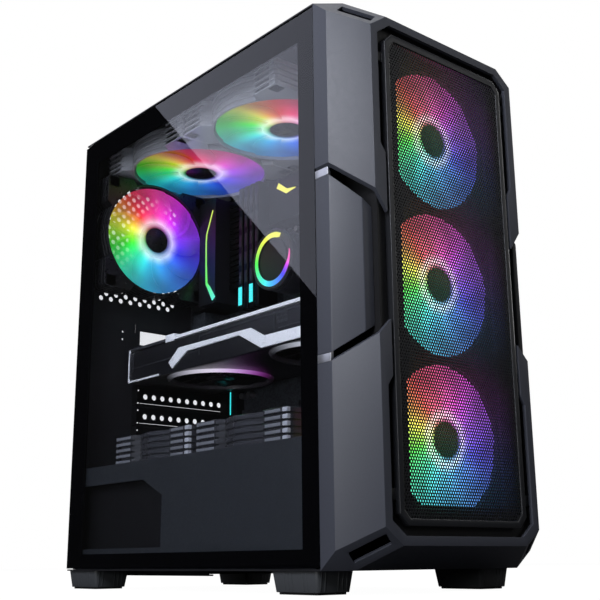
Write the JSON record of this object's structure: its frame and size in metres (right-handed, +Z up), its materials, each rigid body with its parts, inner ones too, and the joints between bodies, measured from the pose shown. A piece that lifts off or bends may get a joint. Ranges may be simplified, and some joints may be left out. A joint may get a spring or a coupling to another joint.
{
  "type": "desktop computer tower",
  "caption": "Mid-tower desktop computer: faceted front bezel with a mesh panel over lit fans, a glass side panel, and a fitted interior.",
  "frame": {"origin": "centre of the footprint of the whole tower, on the surface that the feet stand on", "axes": "+Z up, -Y towards the front bezel, -X towards the glass side panel"},
  "size_m": [0.21, 0.408, 0.444],
  "materials": {
    "black_steel": "fine-textured black powder coat",
    "black_plastic": "fine moulded texture",
    "bezel_grey": "satin moulded plastic",
    "foot_plastic": "ribbed moulded plastic",
    "pad_rubber": "matt rubber",
    "tinted_glass": "polished, lightly tinted",
    "dark_screws": "black zinc",
    "silver_trim": "satin silver",
    "mesh_steel": "black perforated steel",
    "filter_plastic": "black frame with fine nylon mesh",
    "button_plastic": "semi-gloss",
    "circuit_board": "black solder mask",
    "ram_aluminium": "black anodised",
    "heatsink_aluminium": "black anodised",
    "drive_aluminium": "cast",
    "dark_fan": "moulded",
    "fan_frame_plastic": "moulded",
    "glow_blades": "frosted translucent, lit from the hub"
  },
  "bodies": {
    "chassis": {"bottom_pan": "black_steel", "chassis_screws": "dark_screws", "cpu_cooler": "black_plastic", "drive_cage": "black_steel", "feet": "foot_plastic", "foot_pads": "pad_rubber", "front_fan_high_frame": "fan_frame_plastic", "front_fan_low_frame": "fan_frame_plastic", "front_fan_middle_frame": "fan_frame_plastic", "front_wall": "black_steel", "gpu_board": "circuit_board", "gpu_shroud": "black_plastic", "gpu_trim": "silver_trim", "hard_drive": "drive_aluminium", "heatsinks": "heatsink_aluminium", "io_board": "circuit_board", "io_cover": "black_plastic", "motherboard": "circuit_board", "motherboard_tray": "black_steel", "psu_case": "black_steel", "psu_shroud": "black_steel", "ram_modules": "ram_aluminium", "rear_fan_frame": "fan_frame_plastic", "rear_panel": "black_steel", "shroud_fan_front_frame": "fan_frame_plastic", "shroud_fan_rear_frame": "fan_frame_plastic", "slot_covers": "black_steel", "top_fan_front_frame": "fan_frame_plastic", "top_fan_rear_frame": "fan_frame_plastic", "top_frame": "black_steel"},
    "glass_door": {"glass_panel": "tinted_glass", "glass_panel_frame": "black_steel", "glass_thumbscrews": "dark_screws"},
    "right_door": {"right_side_panel": "black_steel", "right_thumbscrews": "dark_screws"},
    "front_bezel": {"bezel_core": "black_plastic", "bezel_upper_bracket": "bezel_grey", "bezel_lower_bracket": "bezel_grey", "bezel_mid_left": "bezel_grey", "bezel_mid_right": "bezel_grey", "accent_strips": "silver_trim", "mesh_frame": "black_plastic", "front_mesh": "mesh_steel"},
    "top_filter": {"top_filter": "filter_plastic"},
    "psu_filter": {"psu_filter": "filter_plastic"},
    "power_button": {"power_button": "button_plastic"},
    "reset_button": {"reset_button": "button_plastic"},
    "light_button": {"light_button": "button_plastic"},
    "psu_switch": {"psu_switch": "button_plastic"},
    "psu_fan": {"psu_fan": "dark_fan"},
    "gpu_fan_1": {"gpu_fan_1": "dark_fan"},
    "gpu_fan_2": {"gpu_fan_2": "dark_fan"},
    "front_fan_low": {"front_fan_low_rotor": "glow_blades"},
    "front_fan_middle": {"front_fan_middle_rotor": "glow_blades"},
    "front_fan_high": {"front_fan_high_rotor": "glow_blades"},
    "rear_fan": {"rear_fan_rotor": "glow_blades"},
    "shroud_fan_front": {"shroud_fan_front_rotor": "glow_blades"},
    "shroud_fan_rear": {"shroud_fan_rear_rotor": "glow_blades"},
    "top_fan_front": {"top_fan_front_rotor": "glow_blades"},
    "top_fan_rear": {"top_fan_rear_rotor": "glow_blades"}
  },
  "joints": [
    {"name": "glass_slide", "type": "slide", "parent": "chassis", "child": "glass_door", "axis": [0, 1, 0], "range_m": [0, 0.365]},
    {"name": "right_panel_slide", "type": "slide", "parent": "chassis", "child": "right_door", "axis": [0, 1, 0], "range_m": [0, 0.365]},
    {"name": "bezel_pull", "type": "slide", "parent": "chassis", "child": "front_bezel", "axis": [0, -1, 0], "range_m": [0, 0.06]},
    {"name": "top_filter_lift", "type": "slide", "parent": "chassis", "child": "top_filter", "axis": [0, 0, 1], "range_m": [0, 0.05]},
    {"name": "psu_filter_slide", "type": "slide", "parent": "chassis", "child": "psu_filter", "axis": [0, 1, 0], "range_m": [0, 0.17]},
    {"name": "power_button_press", "type": "slide", "parent": "chassis", "child": "power_button", "axis": [0, 0, -1], "range_m": [0, 0.0015], "stiffness_N_per_m": 300},
    {"name": "reset_button_press", "type": "slide", "parent": "chassis", "child": "reset_button", "axis": [0, 0, -1], "range_m": [0, 0.0015], "stiffness_N_per_m": 250},
    {"name": "light_button_press", "type": "slide", "parent": "chassis", "child": "light_button", "axis": [0, 0, -1], "range_m": [0, 0.0015], "stiffness_N_per_m": 250},
    {"name": "psu_switch_rock", "type": "hinge", "parent": "chassis", "child": "psu_switch", "pos_m": [0.022, 0.1903, 0.084], "axis": [1, 0, 0], "range_deg": [0, 18]},
    {"name": "front_fan_low_spin", "type": "hinge", "parent": "chassis", "child": "front_fan_low", "pos_m": [0, -0.18, 0.109], "axis": [0, 1, 0], "continuous": true},
    {"name": "front_fan_middle_spin", "type": "hinge", "parent": "chassis", "child": "front_fan_middle", "pos_m": [0, -0.18, 0.229], "axis": [0, 1, 0], "continuous": true},
    {"name": "front_fan_high_spin", "type": "hinge", "parent": "chassis", "child": "front_fan_high", "pos_m": [0, -0.18, 0.349], "axis": [0, 1, 0], "continuous": true},
    {"name": "rear_fan_spin", "type": "hinge", "parent": "chassis", "child": "rear_fan", "pos_m": [-0.031, 0.18, 0.3495], "axis": [0, 1, 0], "continuous": true},
    {"name": "top_fan_front_spin", "type": "hinge", "parent": "chassis", "child": "top_fan_front", "pos_m": [-0.01, -0.018, 0.425], "axis": [0, 0, 1], "continuous": true},
    {"name": "top_fan_rear_spin", "type": "hinge", "parent": "chassis", "child": "top_fan_rear", "pos_m": [-0.01, 0.122, 0.425], "axis": [0, 0, 1], "continuous": true},
    {"name": "shroud_fan_front_spin", "type": "hinge", "parent": "chassis", "child": "shroud_fan_front", "pos_m": [-0.033, -0.057, 0.12], "axis": [0, 0, 1], "continuous": true},
    {"name": "shroud_fan_rear_spin", "type": "hinge", "parent": "chassis", "child": "shroud_fan_rear", "pos_m": [-0.033, 0.072, 0.12], "axis": [0, 0, 1], "continuous": true},
    {"name": "gpu_fan_1_spin", "type": "hinge", "parent": "chassis", "child": "gpu_fan_1", "pos_m": [0.005, -0.056, 0.2], "axis": [0, 0, 1], "continuous": true},
    {"name": "gpu_fan_2_spin", "type": "hinge", "parent": "chassis", "child": "gpu_fan_2", "pos_m": [0.005, 0.103, 0.2], "axis": [0, 0, 1], "continuous": true},
    {"name": "psu_fan_spin", "type": "hinge", "parent": "chassis", "child": "psu_fan", "pos_m": [-0.015, 0.112, 0.035], "axis": [0, 0, 1], "continuous": true}
  ]
}
